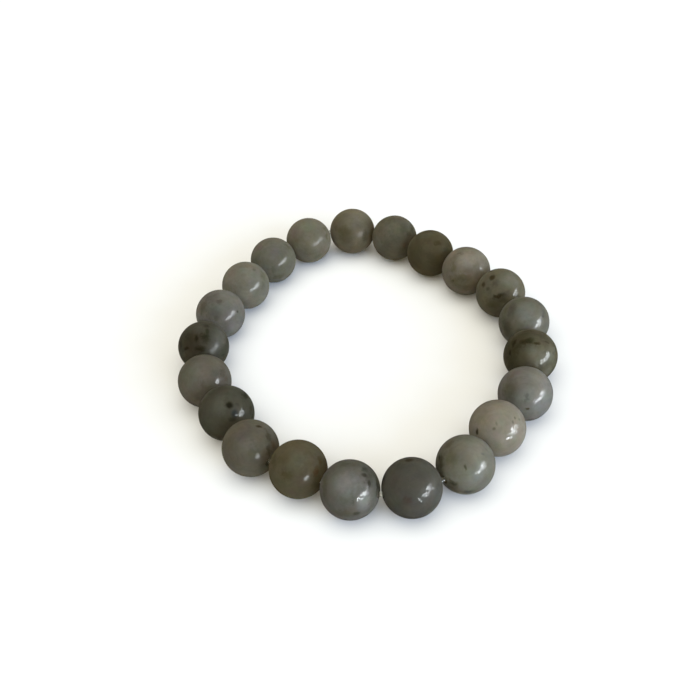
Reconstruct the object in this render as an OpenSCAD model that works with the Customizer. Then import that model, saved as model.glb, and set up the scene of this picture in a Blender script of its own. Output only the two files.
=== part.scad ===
// Beaded bracelet: round polished stone beads on a closed loop of clear elastic cord.
// It lies flat on a surface at Z = 0, with the middle of its outline at X = 0, Y = 0.
// +Y is the far end of the loop as it is looked at, and the beads run clockwise from there.

/* [Beads] */
// Nominal diameter of a bead; the whole loop grows with it
bead_d = 8; // [6:0.5:12]
// Gap between neighbouring beads, between the nearest points of the balls
bead_gap = 0.1; // [0.05:0.05:0.3]
// Diameter of the hole drilled through a bead
hole_d = 1.0; // [0.9:0.1:1.4]
// Width of the bevel round each mouth of the hole
mouth_w = 0.2; // [0.1:0.05:0.3]

/* [Cord] */
// Diameter of the elastic cord
cord_d = 0.7; // [0.4:0.1:0.7]
// How deep inside a bead the cord starts to bend towards the next bead
bend_depth = 0.5; // [0.3:0.1:1]

/* [Loop] */
// Bearing of the first bead from +Y, clockwise as seen from above
first_bearing = 1; // [-10:1:10]

/* [Hidden] */
// The bracelet bead by bead, clockwise from the far end. REACH is how far the middle of a
// bead lies from the middle of the loop, and OVER is how much its diameter is over the
// nominal one: both in mm, for beads of CHART_D. TONE is the colour of the stone.
REACH = 0;
OVER = 1;
TONE = 2;
CHART_D = 8;
CHART = [
    [30.4, -0.05, "warm_grey"],
    [28.0, -0.15, "green_grey"],
    [25.0, -0.10, "moss"],
    [23.8,  0.05, "cream"],
    [24.4, -0.05, "pale_grey"],
    [25.2, -0.15, "pale_grey"],
    [25.6,  0.05, "moss"],
    [26.8, -0.10, "blue_grey"],
    [27.2, -0.05, "cream"],
    [29.6,  0.05, "green_grey"],
    [30.6,  0.15, "slate"],
    [29.8,  0.10, "blue_grey"],
    [27.2,  0.10, "honey"],
    [26.6,  0.10, "warm_grey"],
    [24.6,  0.20, "moss"],
    [25.2,  0.10, "green_grey"],
    [25.4,  0.00, "dark_moss"],
    [25.2,  0.00, "pale_grey"],
    [25.8,  0.00, "cream"],
    [28.0, -0.15, "green_grey"],
    [30.0, -0.10, "warm_grey"]
];
TONES = [
    ["cream",      [0.50, 0.48, 0.42]],
    ["warm_grey",  [0.40, 0.38, 0.32]],
    ["pale_grey",  [0.39, 0.39, 0.35]],
    ["blue_grey",  [0.43, 0.43, 0.40]],
    ["green_grey", [0.38, 0.38, 0.33]],
    ["moss",       [0.29, 0.28, 0.22]],
    ["dark_moss",  [0.25, 0.25, 0.20]],
    ["honey",      [0.33, 0.30, 0.24]],
    ["slate",      [0.31, 0.31, 0.28]],
    ["clear_cord", [0.80, 0.81, 0.79]]
];
count = len(CHART);
last = count - 1;
growth = bead_d / CHART_D;

function bead_name(i) = str("bead_", i < 9 ? "0" : "", i + 1);
function next(i) = (i + 1) % count;
function before(i) = (i + last) % count;
function tone(name) = TONES[search([name], TONES)[0]][1];

bead_r = [for (row = CHART) (CHART_D + row[OVER]) * growth / 2];
// Distance from the middle of each bead to the middle of the next
pitch = [for (i = [0 : last]) bead_r[i] + bead_r[next(i)] + bead_gap];

// Seen from the middle of the loop, each bead stands one step further round than the one
// before. The step is the angle of the triangle whose sides are the two reaches and the pitch.
function reach(i, stretch) = CHART[i][REACH] * growth * stretch;
function triangle_angle(a, b, facing) = acos((a * a + b * b - facing * facing) / (2 * a * b));
function step(i, stretch) = triangle_angle(reach(i, stretch), reach(next(i), stretch), pitch[i]);
function sum(v, i = 0) = i < len(v) ? v[i] + sum(v, i + 1) : 0;
function way_round(stretch) = sum([for (i = [0 : last]) step(i, stretch)]);

// The one stretch of all the reaches at which the steps add up to a full turn, so that the
// last bead meets the first with the same gap as every other pair, found by halving.
HALVINGS = 40;
function closing(low, high, left) =
    let (middle = (low + high) / 2)
    left == 0 ? middle
    : way_round(middle) > 360 ? closing(middle, high, left - 1)
    : closing(low, middle, left - 1);
stretch = closing(0.9, 1.1, HALVINGS);

bearing = [for (i = 0, turn = first_bearing; i < count; turn = turn + step(i, stretch), i = i + 1)
    turn];
plan = [for (i = [0 : last]) reach(i, stretch) * [sin(bearing[i]), cos(bearing[i])]];

// The outline's middle goes to X = 0, Y = 0, and every bead rests on the surface.
function low_side(k) = min([for (i = [0 : last]) plan[i][k] - bead_r[i]]);
function high_side(k) = max([for (i = [0 : last]) plan[i][k] + bead_r[i]]);
outline_middle = [for (k = [0, 1]) (low_side(k) + high_side(k)) / 2];
centre = [for (i = [0 : last])
    [plan[i][0] - outline_middle[0], plan[i][1] - outline_middle[1], bead_r[i]]];

// A bead's hole points from the bead before it to the bead after it.
function unit(v) = v / norm(v);
along = [for (i = [0 : last]) unit(centre[next(i)] - centre[before(i)])];

BEAD_FN = 96;
HOLE_FN = 32;
CUT_SPARE = 1;
CORD_SIDES = 10;

// Turns a shape that stands along Z so that it runs along a direction
module point_along(direction) {
    rotate([0, acos(direction[2]), atan2(direction[1], direction[0])]) children();
}

// A ball with a hole along Z and a bevel at each mouth of it
module drilled_ball(r) {
    mouth_r = hole_d / 2 + mouth_w;
    mouth_z = sqrt(r * r - mouth_r * mouth_r);
    bevel_h = mouth_w + CUT_SPARE;
    difference() {
        sphere(r, $fn = BEAD_FN);
        cylinder(h = 2 * (r + CUT_SPARE), d = hole_d, center = true, $fn = HOLE_FN);
        for (side = [0, 1])
            mirror([0, 0, side])
                translate([0, 0, mouth_z - mouth_w])
                    cylinder(h = bevel_h, d1 = hole_d, d2 = hole_d + 2 * bevel_h, $fn = HOLE_FN);
    }
}

module bead(i) {
    color(tone(CHART[i][TONE]))
        translate(centre[i])
            point_along(along[i])
                drilled_ball(bead_r[i]);
}

// The cord runs straight through each bead and bends only between one bead and the next,
// so its path has two points in each bead, one near each mouth.
cord_path = [for (i = [0 : last], side = [-1, 1])
    centre[i] + side * (bead_r[i] - bend_depth) * along[i]];

// A closed tube round a closed path: a ring of points square to the path at each path point,
// and two triangles between each pair of neighbours on neighbouring rings.
module closed_tube(path, d, sides) {
    rings = len(path);
    UP = [0, 0, 1];
    points = [for (j = [0 : rings - 1])
        let (ahead = unit(path[(j + 1) % rings] - path[j]),
             behind = unit(path[j] - path[(j + rings - 1) % rings]),
             heading = unit(ahead + behind),
             across = unit(cross(heading, UP)),
             over = cross(across, heading))
        for (k = [0 : sides - 1])
            path[j] + d / 2 * (cos(360 * k / sides) * across + sin(360 * k / sides) * over)];
    function corner(j, k) = (j % rings) * sides + k % sides;
    faces = [for (j = [0 : rings - 1], k = [0 : sides - 1])
        each [[corner(j, k), corner(j, k + 1), corner(j + 1, k + 1)],
              [corner(j, k), corner(j + 1, k + 1), corner(j + 1, k)]]];
    polyhedron(points, faces);
}

module elastic_cord() {
    color(tone("clear_cord")) closed_tube(cord_path, cord_d, CORD_SIDES);
}

elastic_cord();
for (i = [0 : last])
    bead(i);
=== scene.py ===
# %% [markdown]
# # A beaded bracelet, piece by piece
# Twenty-one polished stone beads are strung on a loop of clear elastic cord, and the bracelet lies
# flat on a table. The CAD model already says where each bead is and how big it is, so this lesson
# loads it as a fixed frame and dresses it: rounder beads with soft mouths, a smooth cord, and a
# stone finish for each bead. The camera comes before them, because the stones are charted as it
# sees them, and a pale floor and soft light come last.

# %% Load the frame
from collections import namedtuple

import bpy
import numpy as np
from mathutils import Matrix, Vector


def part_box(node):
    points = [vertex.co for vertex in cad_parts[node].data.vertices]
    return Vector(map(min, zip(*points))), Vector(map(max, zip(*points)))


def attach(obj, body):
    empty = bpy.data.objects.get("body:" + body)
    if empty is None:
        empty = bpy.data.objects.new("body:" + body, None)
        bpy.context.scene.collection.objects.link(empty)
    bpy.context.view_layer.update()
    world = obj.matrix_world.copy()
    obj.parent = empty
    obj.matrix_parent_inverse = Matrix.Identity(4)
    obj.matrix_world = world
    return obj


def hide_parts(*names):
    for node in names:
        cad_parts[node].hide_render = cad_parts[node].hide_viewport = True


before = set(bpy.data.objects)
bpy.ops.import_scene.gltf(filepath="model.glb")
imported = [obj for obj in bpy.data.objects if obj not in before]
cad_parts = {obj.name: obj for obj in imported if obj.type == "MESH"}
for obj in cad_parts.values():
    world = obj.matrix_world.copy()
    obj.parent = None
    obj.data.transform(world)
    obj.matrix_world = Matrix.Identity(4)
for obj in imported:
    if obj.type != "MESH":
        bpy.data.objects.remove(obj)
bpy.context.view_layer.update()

MM = 0.001
print("CAD nodes:", len(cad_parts))

# %% [markdown]
# ## Where the beads are
# A bead's box is as high as the bead is thick, and its middle is the bead's middle. All centres
# and radii are kept as two arrays, in metres, so that later cells can work on every bead at once.
# The hole of a bead runs from the bead before it towards the bead after it.

# %% Measure the beads
bead_nodes = sorted(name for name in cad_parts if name.startswith("bead_"))
bead_boxes = np.array([[list(corner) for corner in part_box(name)] for name in bead_nodes])
centres = bead_boxes.mean(axis=1)
radii = np.ptp(bead_boxes[:, :, 2], axis=1) / 2


def unit(vectors):
    """Each vector divided by its own length."""
    return vectors / np.linalg.norm(vectors, axis=-1, keepdims=True)


holes = unit(np.roll(centres, -1, axis=0) - np.roll(centres, 1, axis=0))
print(f"{len(bead_nodes)} beads, {2000 * radii.min():.2f} to {2000 * radii.max():.2f} mm thick")

# %% [markdown]
# ## The camera
# The photograph looks down at the loop from the front, from about 15 cm away, with the camera
# turned a little about its own line of sight. A 50 mm lens on a 36 mm sensor gives the same
# perspective. A camera could be placed by eye, but this one was fitted until the outline of every
# bead lay within a pixel or two of where the photograph has it. Its axes are kept, because the
# marks on the stones are charted as they are seen from here.

# %% Make the camera
CAMERA_PLACE = np.array([-2.24, -113.99, 103.37]) * MM
LOOK_DOWN = np.radians(41.46)
TURN = np.radians(-6.44)
LENS, SENSOR = 50, 36
NEAREST_SEEN = 5 * MM

ahead = np.array([0, np.cos(LOOK_DOWN), -np.sin(LOOK_DOWN)])
level = np.array([1.0, 0, 0])
overhead = np.cross(level, ahead)
picture_right = np.cos(TURN) * level + np.sin(TURN) * overhead
picture_up = np.cos(TURN) * overhead - np.sin(TURN) * level

camera_data = bpy.data.cameras.new("camera")
camera_data.lens = LENS
camera_data.sensor_width = SENSOR
camera_data.clip_start = NEAREST_SEEN
camera = bpy.data.objects.new("camera", camera_data)
axes = Matrix(np.column_stack([picture_right, picture_up, -ahead]).tolist()).to_4x4()
camera.matrix_world = Matrix.Translation(CAMERA_PLACE.tolist()) @ axes
bpy.context.scene.collection.objects.link(camera)
bpy.context.scene.camera = camera
print(f"camera to the middle of the loop: {1000 * np.linalg.norm(CAMERA_PLACE):.0f} mm")

# %% [markdown]
# ## Turning a grid of points into a mesh
# Both the beads and the cord are rings inside rings: a closed outline carried round a closed path.
# So one helper serves both. It takes a grid of points that wraps round both ways and joins each
# point to its neighbours with quads.


# %% A helper for wrapped grids
def wrapped_mesh(name, grid):
    """A closed smooth mesh from points in rows and columns. Quad (i, j) joins the points (i, j),
    (i, j + 1), (i + 1, j + 1) and (i + 1, j), and both counts start again after the last."""
    rows, columns = grid.shape[:2]
    i, j = np.meshgrid(np.arange(rows), np.arange(columns), indexing="ij")
    i_next, j_next = (i + 1) % rows, (j + 1) % columns
    this_row, next_row = i * columns, i_next * columns
    corners = [this_row + j, this_row + j_next, next_row + j_next, next_row + j]
    quads = np.stack(corners, axis=-1).reshape(-1, 4)
    mesh = bpy.data.meshes.new(name)
    mesh.vertices.add(rows * columns)
    mesh.vertices.foreach_set("co", grid.astype(np.float32).ravel())
    mesh.loops.add(quads.size)
    mesh.loops.foreach_set("vertex_index", quads.ravel().astype(np.int32))
    mesh.polygons.add(len(quads))
    mesh.polygons.foreach_set("loop_start", np.arange(0, quads.size, 4, dtype=np.int32))
    mesh.polygons.foreach_set("use_smooth", np.ones(len(quads), dtype=bool))
    mesh.update(calc_edges=True)
    mesh.validate()
    piece = bpy.data.objects.new(name, mesh)
    bpy.context.scene.collection.objects.link(piece)
    return piece


# %% [markdown]
# ## The shape of a bead
# A real bead is ground round, drilled right through and tumbled until the rims of its hole are
# soft. A sphere with a Boolean hole would do, but it leaves ragged faces round the rim. Here one
# closed outline holds all of the bead: the ball from rim to rim, a rounded rim, the straight wall
# of the hole, and the other rim. Turned about the hole's axis it gives a ring, so there is no pole
# anywhere and the quads stay even. Tumbling never leaves a perfect ball, so the surface also dips
# by up to about a hundredth of a millimetre, which is what makes the highlights wander.

# %% The outline of a bead
HOLE_RADIUS = 0.5 * MM
RIM_RADIUS = 0.68 * MM
RIM_DEPTH = 0.3 * MM
BALL_ROWS = 84
RIM_ROWS = 7
WALL_ROWS = 5
AROUND = 132


def bead_outline(radius):
    """(distance from the axis, height along the axis) of a closed outline. The ball part is a
    circle's arc, each rim is a quadratic Bezier curve whose control point is where the ball would
    meet the hole, and the wall is straight."""
    rim_angle = np.arcsin(RIM_RADIUS / radius)
    arc = np.linspace(rim_angle, np.pi - rim_angle, BALL_ROWS)
    ball = radius * np.column_stack([np.sin(arc), np.cos(arc)])
    sharp_edge = np.sqrt(radius**2 - HOLE_RADIUS**2)
    t = np.linspace(0, 1, RIM_ROWS + 2)[1:, None]
    start, control = ball[-1], np.array([HOLE_RADIUS, -sharp_edge])
    end = np.array([HOLE_RADIUS, RIM_DEPTH - sharp_edge])
    lower_rim = (1 - t) ** 2 * start + 2 * t * (1 - t) * control + t**2 * end
    wall_height = np.linspace(end[1], -end[1], WALL_ROWS + 2)[1:-1]
    wall = np.column_stack([np.full(WALL_ROWS, HOLE_RADIUS), wall_height])
    upper_rim = lower_rim[::-1] * [1, -1]
    return np.vstack([ball, lower_rim, wall, upper_rim])


def unevenness(directions, seed, waves=26, longest=5.0, shortest=1.1, radius=4.0):
    """A height for each direction, seldom past 1 either way: the sum of plane waves that run through
    the ball in seeded random directions, each as high as it is long, divided by twice the sum's
    root mean square. Lengths and radius are in mm."""
    chance = np.random.default_rng(seed)
    run = unit(chance.normal(size=(waves, 3)))
    length = np.geomspace(longest, shortest, waves)
    phase = chance.uniform(0, 2 * np.pi, waves)
    height = length / length.max()
    turns = 2 * np.pi * radius / length
    total = np.sin(directions @ (run * turns[:, None]).T + phase) @ height
    return total / np.sqrt((height**2).sum() * 2)


# %% Make the beads
UNEVEN = 0.009 * MM
stones = []
for number, name in enumerate(bead_nodes):
    axis = holes[number]
    side = unit(np.cross(axis, [0, 0, 1.0]))
    top = np.cross(side, axis)
    outline = bead_outline(radii[number])
    turn = np.linspace(0, 2 * np.pi, AROUND, endpoint=False)[:, None, None]
    ring = np.cos(turn) * side + np.sin(turn) * top
    local = outline[None, :, :1] * ring + outline[None, :, 1:] * axis
    dip = UNEVEN * (1 + unevenness(unit(local), seed=number)) / 2
    local = local - unit(local) * np.clip(dip, 0, 2 * UNEVEN)[..., None]
    stone = wrapped_mesh(name.replace("bead", "stone"), centres[number] + local)
    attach(stone, "root")
    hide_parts(name)
    stones.append(stone)
print(f"{len(stones)} beads of {len(stones[0].data.polygons)} quads")

# %% [markdown]
# ## The elastic cord
# The cord is a clear stretchy strand. It lies along the axis of each hole and bends only in the
# gap between two beads. Its path is straight through a bead and a Hermite curve across a gap: a
# cubic that leaves one hole in that hole's direction and arrives in the next hole's direction.
# A curve object with a round bevel would do too, but a circle carried along the path gives a tube
# that closes on itself, and the helper for wrapped grids is already there.

# %% Make the cord
CORD_RADIUS = 0.35 * MM
STRAIGHT_END = 0.5 * MM
GAP_STEPS = 12
CORD_SIDES = 28

leave = centres + (radii - STRAIGHT_END)[:, None] * holes
arrive = np.roll(centres - (radii - STRAIGHT_END)[:, None] * holes, -1, axis=0)
heading = np.roll(holes, -1, axis=0)
reach = np.linalg.norm(arrive - leave, axis=1, keepdims=True)
t = np.linspace(0, 1, GAP_STEPS)[:, None, None]
curve = (
    (2 * t**3 - 3 * t**2 + 1) * leave
    + (t**3 - 2 * t**2 + t) * reach * holes
    + (3 * t**2 - 2 * t**3) * arrive
    + (t**3 - t**2) * reach * heading
)
path = curve.transpose(1, 0, 2).reshape(-1, 3)
forward = unit(np.roll(path, -1, axis=0) - np.roll(path, 1, axis=0))
across = unit(np.cross(forward, [0, 0, 1.0]))
above = np.cross(across, forward)
turn = np.linspace(0, 2 * np.pi, CORD_SIDES, endpoint=False)[:, None]
circle = np.cos(turn) * across[:, None] + np.sin(turn) * above[:, None]
tube = path[:, None] + CORD_RADIUS * circle
cord = wrapped_mesh("clear_cord_loop", tube)
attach(cord, "root")
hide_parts("elastic_cord")
cord_length = np.linalg.norm(path - np.roll(path, 1, axis=0), axis=1).sum()
print(f"cord {1000 * cord_length:.1f} mm round, {2000 * CORD_RADIUS:.1f} mm thick")

# %% [markdown]
# ## Faces outwards
# A wrapped grid can come out inside out, depending on which way it is counted. The signed volume
# says which: it is the sum of the small pyramids from the origin to each face, and it is positive
# when the faces look outwards.


# %% Check which way the faces look
def signed_volume(piece):
    """The sum over all quads of a third of the face's middle dotted with its area vector."""
    mesh = piece.data
    points = np.empty(len(mesh.vertices) * 3, dtype=np.float32)
    mesh.vertices.foreach_get("co", points)
    corners = np.empty(len(mesh.loops), dtype=np.int32)
    mesh.loops.foreach_get("vertex_index", corners)
    quads = points.reshape(-1, 3).astype(float)[corners.reshape(-1, 4)]
    area = np.cross(quads[:, 2] - quads[:, 0], quads[:, 3] - quads[:, 1]) / 2
    return float((quads.mean(axis=1) * area).sum() / 3)


for piece in stones + [cord]:
    if signed_volume(piece) < 0:
        piece.data.flip_normals()
smallest = min(signed_volume(piece) for piece in stones + [cord])
print(f"smallest volume: {smallest / MM**3:.1f} cubic mm")

# %% [markdown]
# ## Small helpers for materials
# A material is a graph of nodes. These helpers keep the cells short: one fills a node's sockets,
# one adds a node, one mixes two colours and one fades a value in. A socket is given either a value
# or another node's output.


# %% Helpers for nodes
def fill(tree, node, inputs):
    """Gives each of the node's inputs its value, or links it to another node's output."""
    for key, value in inputs.items():
        if isinstance(value, bpy.types.NodeSocket):
            tree.links.new(value, node.inputs[key])
        else:
            node.inputs[key].default_value = value


def add(tree, kind, inputs=None, **settings):
    """A new node of this kind, with its settings, and its inputs set or linked."""
    node = tree.nodes.new("ShaderNode" + kind)
    for key, value in settings.items():
        setattr(node, key, value)
    fill(tree, node, inputs or {})
    return node


# A Mix node has sockets for each kind of data, and these are the ones for colours.
MIX_FACTOR, MIX_A, MIX_B, MIX_RESULT = 0, 6, 7, 2


def mix_colour(tree, factor, a, b, blend="MIX"):
    """The colour that lies between a and b, or a multiplied by b, as far as the factor says."""
    inputs = {MIX_FACTOR: factor, MIX_A: a, MIX_B: b}
    return add(tree, "Mix", inputs, data_type="RGBA", blend_type=blend).outputs[MIX_RESULT]


def fade(tree, value, start, end, low=0.0, high=1.0):
    """Takes a value from low, at start, to high, at end, on a smooth S-shaped curve."""
    inputs = {"Value": value, 1: start, 2: end, 3: low, 4: high}
    return add(tree, "MapRange", inputs, interpolation_type="SMOOTHSTEP").outputs[0]


def new_material(name):
    """An empty node material, its tree and its shader."""
    material = bpy.data.materials.new(name)
    material.use_nodes = True
    tree = material.node_tree
    shader = tree.nodes["Principled BSDF"]
    return material, tree, shader


# %% [markdown]
# ## What the stones look like
# Not every mark is the stone's own colour. On several beads shade and olive marks darken the side
# turned from the window and the lower rim: partly the stone's darker tone, partly painted shade. On
# three glossy beads a pale bluish mark beside the highlight is a painted glow.
# The beads are a cloudy feldspar: grey-green to beige, a little translucent, with soft patches of
# other tints and small dark inclusions. Each bead is charted in a row of its own: the CAD
# slot that it fills, its colour, how glossy it is from 0 to 1, how strongly its skin ripples, which
# is 1 for a lively one, which ripple pattern it has, and its marks. A painted image could hold the
# marks too, but a charted mark needs no file and stays sharp from close by.
#
# A mark's place is given as the photograph shows it: how far right and how far up it lies from the
# middle of the bead, in bead radii. Its width and height are in bead radii too, and its lean turns
# it anticlockwise, in degrees. Its tint is what it multiplies the stone's colour by, and its
# strength says how far. Its face is 1 on the side that the photograph shows and -1 on the far side.

# %% Tints
TOP_LIGHT = np.array([1.45, 1.48, 1.37])


def seen(red, green, blue):
    """The stone's own colour, from how it looks on screen where it faces straight up: the screen
    value made linear by the sRGB curve, divided by the light that falls there."""
    screen = np.array([red, green, blue]) / 255
    linear = np.where(screen <= 0.04045, screen / 12.92, ((screen + 0.055) / 1.055) ** 2.4)
    return (*(linear / TOP_LIGHT).tolist(), 1.0)


# Most tints are the stone's own. Some shade and olive marks are also painted shade, and a few blue and
# bright marks are a painted glow beside a highlight.
TINT = {
    "black": (0.17, 0.15, 0.10),
    "umber": (0.38, 0.33, 0.22),
    "ink": (0.42, 0.43, 0.34),
    "teal": (0.42, 0.50, 0.62),
    "shade": (0.62, 0.60, 0.52),
    "dusk": (0.68, 0.68, 0.68),
    "sage": (0.76, 0.83, 0.76),
    "olive": (0.74, 0.73, 0.59),
    "rust": (0.88, 0.66, 0.55),
    "russet": (0.76, 0.67, 0.60),
    "pink": (0.98, 0.85, 0.95),
    "violet": (1.04, 0.98, 1.12),
    "green": (0.97, 1.06, 0.99),
    "blue": (1.12, 1.19, 1.32),
    "cream": (1.22, 1.18, 1.15),
    "pale": (1.27, 1.28, 1.36),
    "bright": (1.60, 1.68, 1.90),
}
INCLUSIONS = ("black", "umber", "ink", "teal")
print("tints:", len(TINT))

# %% Chart the first seven beads, from the far end down the right side
Stone = namedtuple("Stone", "slot colour gloss grain ripple marks")
Mark = namedtuple("Mark", "right up wide tall lean tint strength face", defaults=[1])

CHART = [
    Stone("stone_warm_grey", (98, 92, 74), 0.05, 0.2, 4, [
        Mark(-0.40, -0.05, 0.42, 0.28, -15, "olive", 1.0),
        Mark(-0.30, -0.38, 0.35, 0.20, 0, "olive", 0.5),
        Mark(-0.75, 0.15, 0.12, 0.12, 0, "shade", 0.5),
        Mark(0.05, 0.45, 0.42, 0.36, 0, "blue", 0.7),
        Mark(0.58, -0.22, 0.18, 0.28, 0, "shade", 0.9),
        Mark(0.10, -0.78, 0.35, 0.18, 0, "olive", 0.6),
        Mark(0.12, -0.40, 0.14, 0.16, 0, "cream", 0.9),
    ]),
    Stone("stone_green_grey", (88, 84, 68), 0.4, 0.2, 0, [
        Mark(-0.72, -0.15, 0.28, 0.40, 0, "pale", 1.0),
        Mark(-0.38, 0.20, 0.25, 0.35, 0, "pale", 0.7),
        Mark(0.10, 0.78, 0.50, 0.18, 0, "dusk", 0.5),
        Mark(0.42, 0.45, 0.26, 0.24, 0, "sage", 1.0),
        Mark(0.77, 0.45, 0.14, 0.26, 0, "ink", 0.8),
        Mark(0.64, 0.18, 0.15, 0.15, 0, "shade", 0.8),
        Mark(0.45, -0.30, 0.13, 0.11, 0, "rust", 0.4),
        Mark(0.05, -0.65, 0.45, 0.24, 0, "cream", 0.7),
    ]),
    Stone("stone_moss", (74, 68, 48), 0.0, 0.2, 0, [
        Mark(0.32, 0.42, 0.18, 0.13, 0, "shade", 1.0),
        Mark(0.79, 0.38, 0.13, 0.13, 0, "dusk", 0.9),
        Mark(0.68, 0.15, 0.14, 0.14, 0, "olive", 0.9),
        Mark(-0.20, 0.78, 0.45, 0.20, 0, "blue", 1.0),
        Mark(-0.70, 0.55, 0.20, 0.20, 0, "blue", 0.5),
        Mark(0.02, 0.34, 0.14, 0.14, 0, "violet", 0.6),
        Mark(-0.08, -0.10, 0.15, 0.13, 0, "dusk", 0.6),
        Mark(0.20, -0.30, 0.24, 0.24, 0, "olive", 0.5),
    ]),
    Stone("stone_cream", (112, 106, 90), 0.77, 0.9, 2, [
        Mark(-0.60, 0.70, 0.30, 0.25, 0, "pale", 0.9),
        Mark(0.00, 0.45, 0.45, 0.35, 0, "pale", 0.9),
        Mark(0.60, 0.50, 0.30, 0.35, 0, "pale", 0.6),
        Mark(-0.25, 0.71, 0.15, 0.07, -35, "dusk", 0.8),
        Mark(-0.50, 0.12, 0.13, 0.24, 0, "olive", 0.7),
        Mark(-0.12, -0.28, 0.34, 0.20, 0, "olive", 1.0),
        # These three olive marks darken the lower side: partly the stone's tone, partly painted shade.
        Mark(-0.50, -0.45, 0.28, 0.24, -40, "olive", 0.9),
        Mark(-0.15, -0.64, 0.34, 0.22, 0, "olive", 0.7),
        Mark(0.20, -0.62, 0.30, 0.28, 0, "olive", 0.5),
        Mark(-0.52, -0.40, 0.04, 0.04, 0, "ink", 0.6),
    ]),
    Stone("stone_pale_grey", (94, 90, 72), 0.65, 0.4, 36, [
        Mark(0.38, 0.55, 0.45, 0.36, 0, "blue", 1.0),
        Mark(-0.70, -0.20, 0.25, 0.30, 0, "cream", 0.6),
        Mark(-0.20, 0.38, 0.15, 0.17, 0, "dusk", 0.8),
        Mark(0.28, -0.02, 0.20, 0.14, 0, "dusk", 0.8),
        # These two olive marks darken the lower left: partly the stone's tone, partly painted shade.
        Mark(-0.25, -0.48, 0.30, 0.18, 0, "olive", 0.9),
        Mark(-0.45, -0.32, 0.28, 0.24, 0, "olive", 0.6),
        Mark(0.02, -0.22, 0.28, 0.20, 0, "shade", 1.0),
        Mark(-0.33, 0.62, 0.11, 0.12, -20, "umber", 1.0),
        Mark(-0.40, 0.88, 0.11, 0.08, -15, "umber", 1.0),
        Mark(-0.68, 0.34, 0.09, 0.12, 10, "umber", 0.9),
        Mark(-0.49, 0.16, 0.08, 0.07, 0, "umber", 0.5),
        Mark(-0.14, -0.16, 0.20, 0.09, 10, "umber", 1.0),
        Mark(0.06, -0.06, 0.13, 0.11, 0, "ink", 0.8),
    ]),
    Stone("stone_pale_grey", (100, 98, 84), 0.93, 1.2, 19, [
        Mark(0.05, 0.45, 0.38, 0.38, 0, "blue", 0.9),
        Mark(0.20, 0.05, 0.40, 0.25, 0, "blue", 0.6),
        Mark(-0.48, 0.45, 0.20, 0.34, -10, "dusk", 1.0),
        Mark(-0.72, 0.48, 0.13, 0.18, 0, "olive", 0.7),
        # These two marks darken the left side, turned from the window: partly the stone's tone, partly
        # painted shade.
        Mark(-0.66, -0.25, 0.24, 0.40, 0, "shade", 0.9),
        Mark(-0.80, 0.00, 0.16, 0.45, 0, "olive", 0.6),
        Mark(-0.10, 0.88, 0.26, 0.12, 0, "sage", 0.7),
        Mark(0.77, 0.30, 0.13, 0.26, 0, "dusk", 0.6),
        Mark(0.73, 0.21, 0.06, 0.05, 0, "teal", 0.7),
        Mark(0.66, 0.06, 0.05, 0.05, 0, "teal", 0.5),
        Mark(0.02, 0.00, 0.06, 0.05, 0, "ink", 0.3),
    ]),
    Stone("stone_moss", (78, 74, 56), 0.77, 0.9, 27, [
        Mark(0.35, 0.00, 0.42, 0.40, 0, "bright", 1.0),
        Mark(0.82, 0.05, 0.22, 0.45, 0, "bright", 0.8),
        Mark(0.62, -0.58, 0.28, 0.24, 0, "bright", 1.0),
        Mark(0.00, 0.18, 0.24, 0.18, 0, "blue", 0.8),
        # Next mark darkens the left side, turned from the window: partly the stone's tone, partly
        # painted shade.
        Mark(-0.68, 0.10, 0.30, 0.55, 0, "shade", 0.9),
        Mark(-0.78, -0.35, 0.10, 0.18, 0, "rust", 0.5),
        # Next mark is painted shade on the left side as well, partly the stone's own olive.
        Mark(-0.55, 0.16, 0.22, 0.20, 0, "olive", 0.7),
        Mark(-0.40, 0.70, 0.45, 0.24, 0, "shade", 0.7),
        Mark(0.38, 0.72, 0.24, 0.14, 0, "dusk", 0.7),
        Mark(-0.38, 0.38, 0.24, 0.14, 20, "shade", 0.9),
        Mark(-0.22, 0.52, 0.24, 0.12, -5, "umber", 0.8),
        Mark(0.00, 0.58, 0.15, 0.12, 0, "ink", 0.9),
        Mark(0.22, 0.46, 0.13, 0.06, 18, "umber", 1.0),
        Mark(-0.60, 0.45, 0.08, 0.16, -20, "umber", 1.0),
        Mark(-0.74, 0.12, 0.05, 0.10, 0, "umber", 1.0),
        Mark(-0.06, 0.93, 0.20, 0.07, 0, "umber", 0.9),
        Mark(0.60, 0.50, 0.10, 0.04, 0, "ink", 0.7),
        Mark(0.82, 0.10, 0.04, 0.07, 0, "teal", 0.6),
    ]),
]
print("beads charted:", len(CHART))

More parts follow.
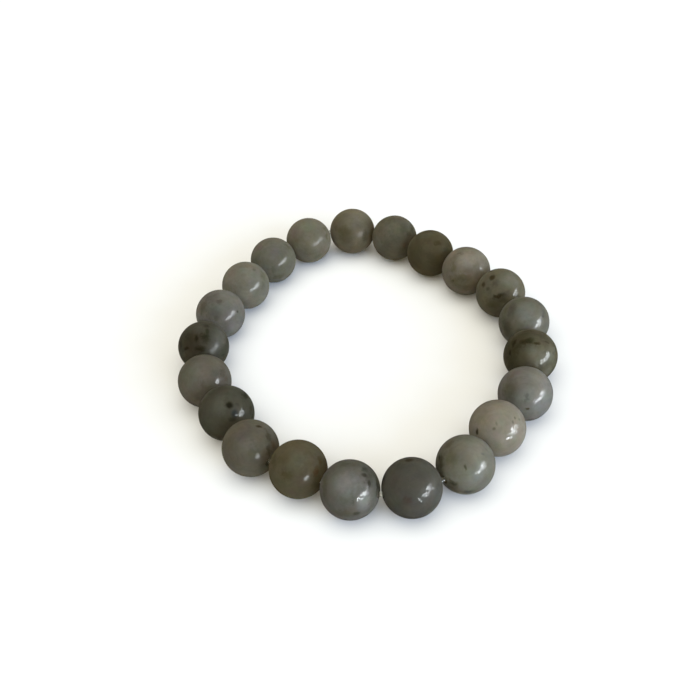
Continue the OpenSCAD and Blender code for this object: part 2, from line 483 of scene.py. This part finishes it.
# %% Chart the next seven, round the near end
CHART += [
    Stone("stone_blue_grey", (112, 110, 100), 1.0, 0.8, 9, [
        # Darker left side, turned from the window: partly the stone's tone, partly painted shade.
        Mark(-0.55, 0.15, 0.36, 0.40, 0, "shade", 1.0),
        Mark(-0.25, 0.76, 0.20, 0.12, 0, "pink", 0.9),
        Mark(-0.50, 0.60, 0.12, 0.12, 0, "rust", 0.6),
        Mark(0.50, 0.60, 0.40, 0.34, 0, "cream", 0.7),
        # Painted glow below the highlight.
        Mark(0.42, -0.45, 0.22, 0.20, 0, "blue", 0.8),
        Mark(0.04, -0.13, 0.09, 0.17, -12, "dusk", 1.0),
        Mark(0.08, -0.54, 0.07, 0.035, 0, "umber", 1.0),
        Mark(0.17, -0.94, 0.12, 0.06, 0, "umber", 0.9),
    ]),
    Stone("stone_cream", (128, 122, 106), 0.9, 1.0, 5, [
        Mark(0.10, 0.20, 0.15, 0.15, 0, "green", 0.9),
        Mark(0.00, -0.30, 0.25, 0.15, 0, "violet", 0.5),
        Mark(-0.55, 0.50, 0.30, 0.30, 0, "olive", 0.15),
        Mark(0.20, -0.68, 0.40, 0.26, 0, "sage", 0.4),
        Mark(-0.69, -0.13, 0.06, 0.10, -5, "black", 1.0),
        Mark(-0.11, -0.02, 0.05, 0.05, 0, "ink", 0.7),
        Mark(-0.03, 0.16, 0.03, 0.08, 15, "ink", 0.5),
        Mark(0.60, 0.35, 0.04, 0.05, 0, "ink", 0.8),
        Mark(0.53, 0.20, 0.03, 0.06, 0, "ink", 0.6),
        Mark(0.75, 0.30, 0.04, 0.04, 0, "ink", 0.5),
    ]),
    Stone("stone_green_grey", (108, 106, 92), 0.8, 0.8, 8, [
        Mark(-0.50, 0.20, 0.28, 0.30, 0, "olive", 0.8),
        Mark(-0.55, 0.66, 0.25, 0.18, 35, "shade", 0.8),
        Mark(0.35, 0.40, 0.35, 0.35, 0, "cream", 0.6),
        Mark(0.25, -0.45, 0.30, 0.34, 0, "blue", 0.7),
        # Painted glow beside the highlight.
        Mark(0.54, -0.20, 0.20, 0.34, 0, "blue", 1.0),
        # These three shade marks darken the left side and the lower rim: partly the stone's tone,
        # partly painted shade.
        Mark(-0.84, 0.00, 0.22, 0.50, 0, "shade", 1.0),
        Mark(-0.45, -0.70, 0.36, 0.20, -20, "shade", 1.0),
        Mark(0.05, -0.90, 0.30, 0.12, 0, "shade", 0.8),
        Mark(-0.80, 0.06, 0.10, 0.26, 0, "umber", 0.6),
        Mark(-0.86, 0.22, 0.05, 0.09, 0, "black", 0.9),
        Mark(-0.70, -0.55, 0.09, 0.07, -10, "black", 1.0),
        Mark(-0.40, -0.62, 0.16, 0.11, 0, "ink", 0.9),
        Mark(-0.48, -0.78, 0.20, 0.09, -20, "umber", 0.7),
        Mark(0.08, -0.90, 0.12, 0.08, 0, "teal", 0.8),
        Mark(0.00, -0.10, 0.035, 0.09, 8, "ink", 0.9),
        Mark(0.57, 0.33, 0.07, 0.035, 0, "teal", 0.5),
    ]),
    Stone("stone_slate", (76, 74, 64), 0.84, 1.2, 13, [
        Mark(0.00, 0.84, 0.50, 0.16, 0, "cream", 0.6),
        Mark(-0.15, -0.38, 0.14, 0.14, 0, "rust", 0.8),
        Mark(-0.50, -0.50, 0.20, 0.20, 0, "green", 0.8),
        Mark(0.28, 0.42, 0.24, 0.24, 0, "dusk", 0.3),
        Mark(0.78, -0.05, 0.22, 0.45, 0, "blue", 0.6),
        Mark(-0.09, 0.88, 0.12, 0.10, 0, "umber", 1.0),
    ]),
    Stone("stone_blue_grey", (94, 92, 82), 0.92, 1.0, 3, [
        Mark(-0.15, 0.18, 0.45, 0.42, 0, "bright", 0.65),
        # Olive on the left rim: partly the stone's tone, partly painted shade.
        Mark(-0.84, 0.10, 0.16, 0.50, 0, "olive", 0.9),
        Mark(0.00, 0.82, 0.35, 0.13, 0, "olive", 0.6),
        # Olive on the lower left: partly the stone's tone, partly painted shade.
        Mark(-0.30, -0.76, 0.40, 0.18, 0, "olive", 0.8),
        # Painted glow beside the highlight.
        Mark(0.46, -0.38, 0.26, 0.32, 0, "bright", 0.7),
        Mark(0.70, 0.52, 0.24, 0.28, 0, "shade", 0.9),
        Mark(0.62, 0.30, 0.17, 0.24, 0, "shade", 0.8),
        Mark(0.10, -0.38, 0.06, 0.12, 0, "dusk", 0.9),
        Mark(0.47, 0.67, 0.12, 0.15, -10, "ink", 1.0),
        Mark(0.46, 0.47, 0.10, 0.07, 0, "ink", 1.0),
        Mark(0.62, 0.20, 0.06, 0.11, 0, "ink", 1.0),
        Mark(0.88, 0.18, 0.07, 0.22, 0, "black", 0.8),
        Mark(0.86, -0.12, 0.06, 0.10, 0, "ink", 0.6),
        Mark(0.21, -0.76, 0.11, 0.08, -20, "ink", 1.0),
    ]),
    Stone("stone_honey", (82, 76, 56), 0.4, 0.4, 7, [
        Mark(0.00, 0.32, 0.32, 0.35, 0, "blue", 1.0),
        Mark(0.10, -0.35, 0.30, 0.24, 0, "violet", 0.5),
        Mark(-0.40, -0.20, 0.24, 0.17, 0, "olive", 1.0),
        Mark(-0.82, 0.30, 0.14, 0.30, 0, "olive", 0.9),
        Mark(-0.50, 0.35, 0.24, 0.24, 0, "olive", 0.4),
        Mark(0.60, -0.10, 0.12, 0.18, -15, "rust", 1.0),
        Mark(0.72, 0.20, 0.10, 0.14, 0, "rust", 0.5),
        Mark(0.72, 0.34, 0.14, 0.18, 0, "olive", 0.8),
        Mark(0.62, -0.48, 0.20, 0.24, 0, "olive", 0.5),
        Mark(-0.20, -0.76, 0.20, 0.12, 0, "pink", 0.8),
    ]),
    Stone("stone_warm_grey", (88, 84, 70), 0.35, 0.3, 5, [
        Mark(-0.08, 0.08, 0.30, 0.24, 0, "pale", 0.9),
        Mark(-0.45, 0.36, 0.28, 0.24, 0, "violet", 0.7),
        Mark(0.52, 0.62, 0.10, 0.08, 0, "olive", 0.9),
        Mark(0.62, 0.36, 0.12, 0.18, 0, "shade", 0.9),
        Mark(0.76, 0.14, 0.10, 0.13, 0, "rust", 0.7),
        Mark(0.60, -0.10, 0.12, 0.18, 0, "shade", 1.0),
        Mark(0.28, 0.73, 0.11, 0.055, 5, "umber", 1.0),
    ]),
]
print("beads charted:", len(CHART))

# %% Chart the last seven, up the left side
CHART += [
    Stone("stone_moss", (72, 70, 56), 0.88, 0.8, 2, [
        Mark(-0.28, 0.30, 0.26, 0.40, 0, "pale", 1.0),
        Mark(0.00, 0.78, 0.30, 0.14, 0, "pale", 0.5),
        Mark(0.86, 0.20, 0.08, 0.30, 0, "shade", 0.9),
        Mark(-0.20, -0.82, 0.22, 0.12, 0, "rust", 0.8),
        Mark(0.10, 0.27, 0.11, 0.11, 0, "black", 1.0),
        Mark(0.37, 0.30, 0.07, 0.07, 0, "teal", 0.4),
        Mark(0.28, -0.01, 0.10, 0.12, -30, "teal", 1.0),
        Mark(0.20, -0.22, 0.12, 0.08, 0, "ink", 0.7),
        Mark(0.66, 0.60, 0.13, 0.22, -40, "ink", 1.0),
    ]),
    Stone("stone_green_grey", (94, 90, 78), 0.67, 0.7, 33, [
        Mark(-0.60, 0.20, 0.30, 0.34, 0, "green", 1.0),
        Mark(-0.36, -0.76, 0.30, 0.18, 0, "cream", 0.7),
        Mark(0.42, 0.30, 0.20, 0.20, 0, "dusk", 0.4),
        Mark(0.66, 0.32, 0.14, 0.24, 0, "shade", 0.8),
        Mark(0.80, 0.08, 0.10, 0.10, 0, "rust", 0.5),
        Mark(-0.10, -0.06, 0.10, 0.11, 0, "shade", 0.5),
        Mark(-0.08, -0.20, 0.12, 0.08, 0, "dusk", 0.4),
    ]),
    Stone("stone_dark_moss", (64, 62, 50), 0.05, 0.5, 4, [
        Mark(0.62, 0.32, 0.34, 0.50, 0, "bright", 0.95),
        Mark(-0.20, 0.78, 0.20, 0.14, 0, "pale", 0.5),
        Mark(-0.40, 0.12, 0.50, 0.50, 0, "russet", 1.0),
        Mark(-0.55, 0.36, 0.20, 0.24, 0, "shade", 0.6),
        Mark(0.05, 0.30, 0.16, 0.20, 0, "shade", 1.0),
        Mark(0.78, -0.33, 0.12, 0.07, 0, "shade", 1.0),
        Mark(-0.66, -0.34, 0.14, 0.10, 0, "rust", 0.6),
        Mark(0.10, 0.80, 0.10, 0.10, 0, "ink", 0.8),
        Mark(0.13, 0.60, 0.07, 0.12, 0, "ink", 0.9),
        Mark(-0.28, 0.32, 0.07, 0.17, -5, "umber", 1.0),
        Mark(-0.12, -0.10, 0.20, 0.12, 0, "umber", 1.0),
        Mark(-0.66, -0.08, 0.12, 0.05, 10, "umber", 1.0),
        Mark(-0.89, 0.10, 0.06, 0.12, 0, "ink", 0.8),
        Mark(0.02, 0.42, 0.16, 0.15, 0, "ink", 0.8),
    ]),
    Stone("stone_pale_grey", (100, 98, 88), 0.55, 0.4, 28, [
        Mark(0.60, -0.50, 0.30, 0.35, 0, "pale", 1.0),
        Mark(0.45, 0.62, 0.35, 0.24, 0, "cream", 0.6),
        Mark(-0.70, 0.30, 0.28, 0.34, 0, "shade", 1.0),
        Mark(-0.35, 0.68, 0.34, 0.20, 0, "dusk", 0.9),
        Mark(-0.30, 0.48, 0.17, 0.15, 0, "dusk", 0.8),
        Mark(-0.25, 0.05, 0.34, 0.30, 0, "dusk", 0.9),
        Mark(-0.20, -0.18, 0.18, 0.10, 0, "olive", 0.4),
        Mark(-0.66, 0.56, 0.08, 0.06, 0, "cream", 0.9),
        Mark(-0.15, 0.80, 0.12, 0.08, 0, "pink", 0.8),
        Mark(-0.04, 0.52, 0.14, 0.13, 0, "shade", 0.9),
        Mark(0.68, 0.10, 0.05, 0.055, 0, "ink", 0.8),
    ]),
    Stone("stone_cream", (106, 104, 90), 0.5, 0.3, 33, [
        Mark(-0.60, 0.50, 0.25, 0.20, 0, "pink", 0.8),
        Mark(0.10, 0.80, 0.34, 0.14, 0, "rust", 0.35),
        Mark(0.00, -0.40, 0.30, 0.24, 0, "cream", 0.8),
        Mark(0.73, 0.40, 0.14, 0.20, 0, "olive", 0.7),
        Mark(0.72, 0.00, 0.13, 0.18, 0, "dusk", 0.5),
        Mark(0.35, 0.65, 0.08, 0.07, 0, "ink", 0.5),
    ]),
    Stone("stone_green_grey", (96, 94, 80), 0.5, 0.3, 34, [
        Mark(-0.62, 0.56, 0.20, 0.20, 0, "pink", 0.9),
        Mark(0.10, 0.36, 0.24, 0.20, 0, "violet", 0.9),
        Mark(0.00, 0.06, 0.20, 0.18, 0, "blue", 0.4),
        Mark(0.00, -0.40, 0.12, 0.24, 0, "sage", 0.9),
        Mark(0.25, -0.72, 0.28, 0.14, 0, "olive", 0.9),
        Mark(0.66, 0.60, 0.20, 0.13, -40, "olive", 0.9),
    ]),
    Stone("stone_warm_grey", (102, 98, 82), 0.2, 0.3, 36, [
        Mark(-0.66, 0.35, 0.20, 0.30, 0, "pink", 1.0),
        Mark(-0.52, -0.02, 0.14, 0.11, 0, "rust", 0.3),
        Mark(0.00, 0.60, 0.36, 0.24, 0, "green", 1.0),
        Mark(0.73, 0.50, 0.12, 0.13, 0, "shade", 0.7),
        Mark(0.81, 0.20, 0.10, 0.20, 0, "olive", 1.0),
        Mark(0.40, -0.72, 0.20, 0.14, 0, "sage", 0.9),
        Mark(-0.10, -0.30, 0.24, 0.18, 0, "dusk", 0.35),
        Mark(0.20, -0.15, 0.18, 0.14, 0, "pale", 0.5),
    ]),
]
assert len(CHART) == len(stones)
print("beads charted:", len(CHART), "with marks:", sum(len(row.marks) for row in CHART))


# %% [markdown]
# ## Bead space
# Each stone's pattern is worked out in the bead's own space: the origin is the bead's middle, one
# unit is its radius, the first axis points right in the photograph, the second up and the third at
# the camera. A Mapping node of the Texture kind takes Object coordinates there. It is fixed to the
# bead, so the pattern stays where it is from every other side.


# %% Place marks in bead space
def bead_axes(number):
    """Right, up and towards the camera at one bead, as the columns of a matrix. Right is the
    picture's right, less its part along the line to the camera, and up is square to both."""
    towards = unit(CAMERA_PLACE - centres[number])
    right = unit(picture_right - (picture_right @ towards) * towards)
    return np.column_stack([right, np.cross(towards, right), towards])


def mark_place(mark):
    """The point on the unit ball under the mark, and the turn that lays a disc flat on it there:
    its third axis is the ball's normal and its first leans from the picture's right."""
    depth = np.sqrt(max(0.0, 1 - mark.right**2 - mark.up**2)) * mark.face
    normal = unit(np.array([mark.right, mark.up, depth]))
    lean = np.radians(mark.lean)
    flat = np.array([np.cos(lean), np.sin(lean), 0])
    first = unit(flat - (flat @ normal) * normal)
    turn = np.column_stack([first, np.cross(normal, first), normal])
    return normal.tolist(), Matrix(turn.tolist()).to_euler()


FAR_REACH = 0.92
FAR_SEED = 100


def far_marks(number, stone):
    """Seeded marks for the half of a bead that the photograph doesn't show. They take their tints,
    sizes and strengths from the bead's own charted marks and get new places."""
    chance = np.random.default_rng(FAR_SEED + number)
    made = []
    for mark in stone.marks:
        reach = FAR_REACH * np.sqrt(chance.uniform())
        bearing = chance.uniform(0, 2 * np.pi)
        place = {"right": reach * np.cos(bearing), "up": reach * np.sin(bearing), "face": -1}
        made.append(mark._replace(lean=chance.uniform(0, 180), **place))
    return made


# %% [markdown]
# ## The colour of a stone
# One noise alone looks like marble paint. So the colour is built in layers, as the eye reads it:
# broad clouds shift it between a deeper and a paler tone, a second noise drifts its hue a little
# towards green or pink, a finer one mottles it, and thin streaks follow the cleavage of the crystal.
# The charted marks come on top. Their edges are frayed by moving the point where they are looked up
# a little way with noise.


# %% Layer the clouds of a stone
DEEP, PALE = 0.93, 1.07
DUSK = (0.74, 0.75, 0.71, 1.0)
BROAD_NOISE = {"Scale": 1.3, "Detail": 2.0, "Distortion": 0.5}
DRIFT_NOISE = {"Scale": 2.4, "Detail": 3.0, "Roughness": 0.55}
FINE_NOISE = {"Scale": 7.0, "Detail": 5.0, "Roughness": 0.6}
STREAK_NOISE = {"Scale": 1.0, "Detail": 3.0}
STREAK_SCALE = (1.5, 3.0, 22.0)
STREAK_TURN = (0.7, 1.1, 0.0)
HUE_GAIN, HUE_BASE = (0.30, 0.20, 0.30), (0.85, 0.90, 0.85)
NOISE_RANGE = 0.3, 0.7
STREAK_RANGE = 0.45, 0.75
FINE_SHADE, STREAK_SHADE = 0.45, 0.3


def scaled(colour, factor):
    """A colour made brighter or darker by one factor, with an alpha of 1."""
    return (*(factor * np.array(colour[:3])).tolist(), 1.0)


def clouded(tree, own, colour, number):
    """The stone's colour before its marks: a deeper and a paler tone mixed by the broad noise, times
    a drifting hue, times a dusky tint where the fine noise or the streaks are high. The fine noise
    is handed on too, because the roughness follows it."""
    broad = add(tree, "TexNoise", {"Vector": own, **BROAD_NOISE}).outputs[0]
    drift = add(tree, "TexNoise", {"Vector": own, **DRIFT_NOISE}).outputs["Color"]
    fine = add(tree, "TexNoise", {"Vector": own, **FINE_NOISE}).outputs[0]
    turned = {"Vector": own, "Rotation": [number * turn for turn in STREAK_TURN], "Scale": STREAK_SCALE}
    cleavage = add(tree, "Mapping", turned).outputs[0]
    streak = add(tree, "TexNoise", {"Vector": cleavage, **STREAK_NOISE}).outputs[0]

    deep, pale = scaled(colour, DEEP), scaled(colour, PALE)
    tone = mix_colour(tree, fade(tree, broad, *NOISE_RANGE), deep, pale)
    hue = add(tree, "VectorMath", {0: drift, 1: HUE_GAIN, 2: HUE_BASE}, operation="MULTIPLY_ADD")
    tone = mix_colour(tree, 1.0, tone, hue.outputs[0], "MULTIPLY")
    fine_shade = fade(tree, fine, *NOISE_RANGE, 0.0, FINE_SHADE)
    tone = mix_colour(tree, fine_shade, tone, DUSK, "MULTIPLY")
    streak_shade = fade(tree, streak, *STREAK_RANGE, 0.0, STREAK_SHADE)
    tone = mix_colour(tree, streak_shade, tone, DUSK, "MULTIPLY")
    return tone, fine


# %% Lay the marks over the clouds
Kind = namedtuple("Kind", "fray core rim")
# Soft patches are the stone's clouds, and also the chart's painted shade and painted glow.
SOFT_PATCH = Kind(0.45, 0.3, 1.4)
INCLUSION = Kind(0.32, 0.3, 1.5)
SPOT = Kind(0.10, 0.5, 1.6)
SPOT_SIZE = 0.13
SOFT_PATCH_DEPTH = 0.6
FRAY_NOISE = {"Scale": 7.0, "Detail": 5.0, "Roughness": 0.65}
NOISE_MIDDLE = (0.5, 0.5, 0.5)


def kind_of(mark):
    """A dark mark is a spot if it is small and an inclusion if not, and any other is a soft patch."""
    if mark.tint not in INCLUSIONS:
        return SOFT_PATCH
    return SPOT if max(mark.wide, mark.tall) < SPOT_SIZE else INCLUSION


def marked(tree, own, bead_space, colour, marks):
    """The colour with every mark's tint multiplied in. A mark is an ellipsoid that sits on the
    surface: its mask is the mark's strength in its core and fades to nothing at its rim. A soft
    patch reaches deep and frays most, an inclusion is as deep as it is narrow and frays less, and a
    spot hardly frays, so it keeps its shape."""
    fray = add(tree, "TexNoise", {"Vector": own, **FRAY_NOISE}).outputs["Color"]
    spread = add(tree, "VectorMath", {0: fray, 1: NOISE_MIDDLE}, operation="SUBTRACT").outputs[0]
    looked_up = {}
    for kind in (SOFT_PATCH, INCLUSION, SPOT):
        moved = {0: spread, 1: (kind.fray,) * 3, 2: bead_space}
        looked_up[kind] = add(tree, "VectorMath", moved, operation="MULTIPLY_ADD").outputs[0]

    for mark in marks:
        kind = kind_of(mark)
        spot, lie = mark_place(mark)
        size = (mark.wide, mark.tall, SOFT_PATCH_DEPTH if kind is SOFT_PATCH else min(mark.wide, mark.tall))
        inputs = {"Vector": looked_up[kind], "Location": spot, "Rotation": lie, "Scale": size}
        within = add(tree, "Mapping", inputs, vector_type="TEXTURE").outputs[0]
        distance = add(tree, "VectorMath", {0: within}, operation="LENGTH").outputs["Value"]
        mask = fade(tree, distance, kind.rim, kind.core, 0.0, mark.strength)
        colour = mix_colour(tree, mask, colour, (*TINT[mark.tint], 1.0), "MULTIPLY")
    return colour


# %% [markdown]
# ## The polish
# Light enters the stone and comes out a little way off, which softens the shading where one bead
# stands in another's shade, so the shader has subsurface scattering. The polish is a clear coat
# over that. Tumbling leaves a faint ripple. Bump on the whole shader would make the stone look
# dented, so the ripple bends the coat's normal alone: it breaks the highlight up into the glints
# that the photograph shows, and the soft shading under it stays even.
# A bead with less gloss has a rougher and weaker coat. The glossiest ones have a broad weak haze
# round the highlight too, which is the shader's own specular light under the coat.

# %% Build a polished stone
IOR_STONE = 1.54
RIPPLES = 8.0
RIPPLE_HEIGHT = 0.06 * MM
COAT_ROUGHNESS = 0.30, 0.05
COAT_WEIGHT = 0.22, 0.32
HAZE_ROUGHNESS = 0.38, 0.46
HAZY_GLOSS, HAZE_STRENGTH = 0.6, 0.25
SCATTER = (1.0, 0.9, 0.75)
LIGHT_REACH = 1.6 * MM
NOISE_STEP = (3.7, 1.3, 0.0)


def at_gloss(dull, glossy, gloss):
    """The dull stone's value moved towards the glossy one's by the gloss, from 0 to 1."""
    return dull + (glossy - dull) * gloss


def polished_stone(number, stone):
    """The material of one bead, from its row of the chart."""
    material, tree, shader = new_material(f"polished_stone_{number + 1:02d}")
    place = add(tree, "TexCoord").outputs["Object"]
    turn = Matrix(bead_axes(number).tolist()).to_euler()
    size = (radii[number],) * 3
    to_bead = {"Vector": place, "Location": centres[number], "Rotation": turn, "Scale": size}
    bead_space = add(tree, "Mapping", to_bead, vector_type="TEXTURE").outputs[0]
    # Each bead looks up its clouds in another part of the noise.
    shifted = {"Vector": bead_space, "Location": [number * step for step in NOISE_STEP]}
    own = add(tree, "Mapping", shifted).outputs[0]

    colour, fine = clouded(tree, own, seen(*stone.colour), number)
    colour = marked(tree, own, bead_space, colour, stone.marks + far_marks(number, stone))
    pattern = {"Vector": bead_space, "W": float(stone.ripple), "Scale": RIPPLES, "Detail": 0.0}
    ripple = add(tree, "TexNoise", pattern, noise_dimensions="4D").outputs[0]
    raised = {"Strength": 1.0, "Distance": RIPPLE_HEIGHT * stone.grain, "Height": ripple}
    fill(tree, shader, {
        "Base Color": colour,
        "Roughness": fade(tree, fine, *NOISE_RANGE, *HAZE_ROUGHNESS),
        "IOR": IOR_STONE,
        "Specular IOR Level": HAZE_STRENGTH * max(0.0, stone.gloss - HAZY_GLOSS),
        "Coat IOR": IOR_STONE,
        "Coat Normal": add(tree, "Bump", raised).outputs[0],
        "Coat Roughness": at_gloss(*COAT_ROUGHNESS, stone.gloss),
        "Coat Weight": at_gloss(*COAT_WEIGHT, stone.gloss),
        "Subsurface Weight": 1.0,
        "Subsurface Radius": SCATTER,
        "Subsurface Scale": LIGHT_REACH,
    })
    return material


# %% Polish every bead
for number, (stone, row) in enumerate(zip(stones, CHART)):
    stone.data.materials.append(polished_stone(number, row))
print("stone materials:", len(stones))

# %% [markdown]
# ## The clear cord
# Stretch cord is a clear, slightly milky plastic. A pale opaque shader would turn it into string.
# Clear plastic mostly shows what is behind it, so it is a transmitting shader with a little
# roughness, and a fine noise makes it a little milkier and rougher in places.

# %% Build the cord's material
CLEARER, MILKIER = (0.62, 0.62, 0.58, 1.0), (0.74, 0.74, 0.70, 1.0)
MILK_NOISE = {"Scale": 900.0, "Detail": 2.0}
CORD_ROUGHNESS = 0.12, 0.22
IOR_CORD = 1.49
LET_THROUGH = 0.95

material, tree, shader = new_material("clear_elastic")
place = add(tree, "TexCoord").outputs["Object"]
milk = add(tree, "TexNoise", {"Vector": place, **MILK_NOISE}).outputs[0]
fill(tree, shader, {
    "Base Color": mix_colour(tree, milk, CLEARER, MILKIER),
    "Roughness": fade(tree, milk, *NOISE_RANGE, *CORD_ROUGHNESS),
    "IOR": IOR_CORD,
    "Transmission Weight": LET_THROUGH,
})
cord.data.materials.append(material)
print("cord material:", material.name)

# %% [markdown]
# ## Floor and light
# The floor is a plain pale sheet without a shine. One lamp could light it all, but its highlights
# and shadows would be harder than the photograph's. Instead three things light the stones: a soft
# patch of sky nearly overhead, a bluish glow from a window in front on the right, and a warm light
# from the same side that has come through other stones and so throws no shadow.
#
# The polish mirrors something else: four window panes and nothing more, because a mirrored floor or
# sky would lie over the stone like a grey veil. So floor, sky and soft lights are hidden from
# reflections, and the panes from the light that the stone scatters. The highlights can then be
# small and white while the shading stays soft and cool. Where the floor ends, the camera sees a
# plain white backdrop.

# %% Lay the floor
FLOOR_HALF = 6.0
FLOOR_COLOUR = (0.62, 0.62, 0.64, 1.0)
FLOOR_ROUGHNESS = 0.7
NO_SHINE = 0.0

floor_mesh = bpy.data.meshes.new("floor")
corner = np.array([[-1, -1, 0], [1, -1, 0], [1, 1, 0], [-1, 1, 0]]) * FLOOR_HALF
floor_mesh.from_pydata(corner.tolist(), [], [(0, 1, 2, 3)])
floor = bpy.data.objects.new("floor", floor_mesh)
bpy.context.scene.collection.objects.link(floor)
material, tree, shader = new_material("pale_floor")
fill(tree, shader, {
    "Base Color": FLOOR_COLOUR,
    "Roughness": FLOOR_ROUGHNESS,
    "Specular IOR Level": NO_SHINE,
})
floor_mesh.materials.append(material)
floor.visible_glossy = False
print("floor:", 2 * FLOOR_HALF, "m square")

# %% Hang the window panes
WINDOW_DISTANCE = 4.0


def panel(name, bearing, height, wide, tall, slant, radiance, colour):
    """A rectangle of light that faces the bracelet. Its bearing is measured clockwise from the far
    side and its height above the floor, both in degrees, as wide and tall are. A lamp's power is
    four times its radiance times its area."""
    bearing, height = np.radians(bearing), np.radians(height)
    to_light = np.array(
        [np.sin(bearing) * np.cos(height), np.cos(bearing) * np.cos(height), np.sin(height)]
    )
    width = 2 * WINDOW_DISTANCE * np.tan(np.radians(wide / 2))
    depth = 2 * WINDOW_DISTANCE * np.tan(np.radians(tall / 2))
    light = bpy.data.lights.new(name, "AREA")
    light.shape = "RECTANGLE"
    light.size, light.size_y = width, depth
    light.energy = 4 * radiance * width * depth
    light.color = colour
    lamp = bpy.data.objects.new(name, light)
    facing = Vector(to_light.tolist()).to_track_quat("Z", "Y").to_matrix().to_4x4()
    lamp.matrix_world = (
        Matrix.Translation((WINDOW_DISTANCE * to_light).tolist())
        @ facing
        @ Matrix.Rotation(np.radians(slant), 4, "Z")
    )
    bpy.context.scene.collection.objects.link(lamp)
    return lamp


DAYLIGHT = (0.95, 1.0, 1.04)
panes = [
    panel("window_top_bar", 131, 10.2, 54, 6.6, 15, 26.0, DAYLIGHT),
    panel("window_side_bar", 101, 11, 5, 19, 0, 14.0, DAYLIGHT),
    panel("window_low_pane", 152, 4.5, 12, 5, 8, 16.0, DAYLIGHT),
    panel("window_haze", 124, 4.5, 34, 10, 6, 14.0, DAYLIGHT),
]
for pane in panes:
    pane.visible_diffuse = False

BLUE_SKY = (0.76, 1.0, 1.39)
THROUGH_STONE = (1.0, 0.79, 0.17)
glow = panel("outdoor_glow", 135, 17, 44, 34, 0, 6.1, BLUE_SKY)
through = panel("light_through_stone", 138, 12, 50, 20, 0, 2.65, THROUGH_STONE)
through.data.use_shadow = False
soft_lights = (glow, through)
for soft_light in soft_lights:
    soft_light.visible_glossy = False
print("panes:", len(panes), "and soft lights:", len(soft_lights))

# %% Light the sky
DIM_SKY = (0.11, 0.10, 0.13)
BRIGHT_SKY = (2.96, 2.92, 2.56)
BACKDROP = (1.0, 1.0, 1.0)
SKY_BEARING, SKY_HEIGHT = np.radians(193), np.radians(75.6)
SKY_EDGE = 0.42
brightest = (
    np.sin(SKY_BEARING) * np.cos(SKY_HEIGHT),
    np.cos(SKY_BEARING) * np.cos(SKY_HEIGHT),
    np.sin(SKY_HEIGHT),
)
world = bpy.data.worlds.new("soft_sky")
bpy.context.scene.world = world
world.cycles_visibility.glossy = False
world.use_nodes = True
tree = world.node_tree
direction = add(tree, "TexCoord").outputs["Generated"]
dot = add(tree, "VectorMath", {0: direction, 1: brightest}, operation="DOT_PRODUCT")
nearness = dot.outputs["Value"]
sky = mix_colour(tree, fade(tree, nearness, SKY_EDGE, 1.0), (*DIM_SKY, 1.0), (*BRIGHT_SKY, 1.0))
looked_at = add(tree, "LightPath").outputs["Is Camera Ray"]
sky = mix_colour(tree, looked_at, sky, (*BACKDROP, 1.0))
tree.links.new(sky, tree.nodes["Background"].inputs["Color"])
bpy.context.scene.view_settings.view_transform = "Standard"
print(f"the bright patch of sky reaches {np.degrees(np.arccos(SKY_EDGE)):.0f} degrees from its middle")
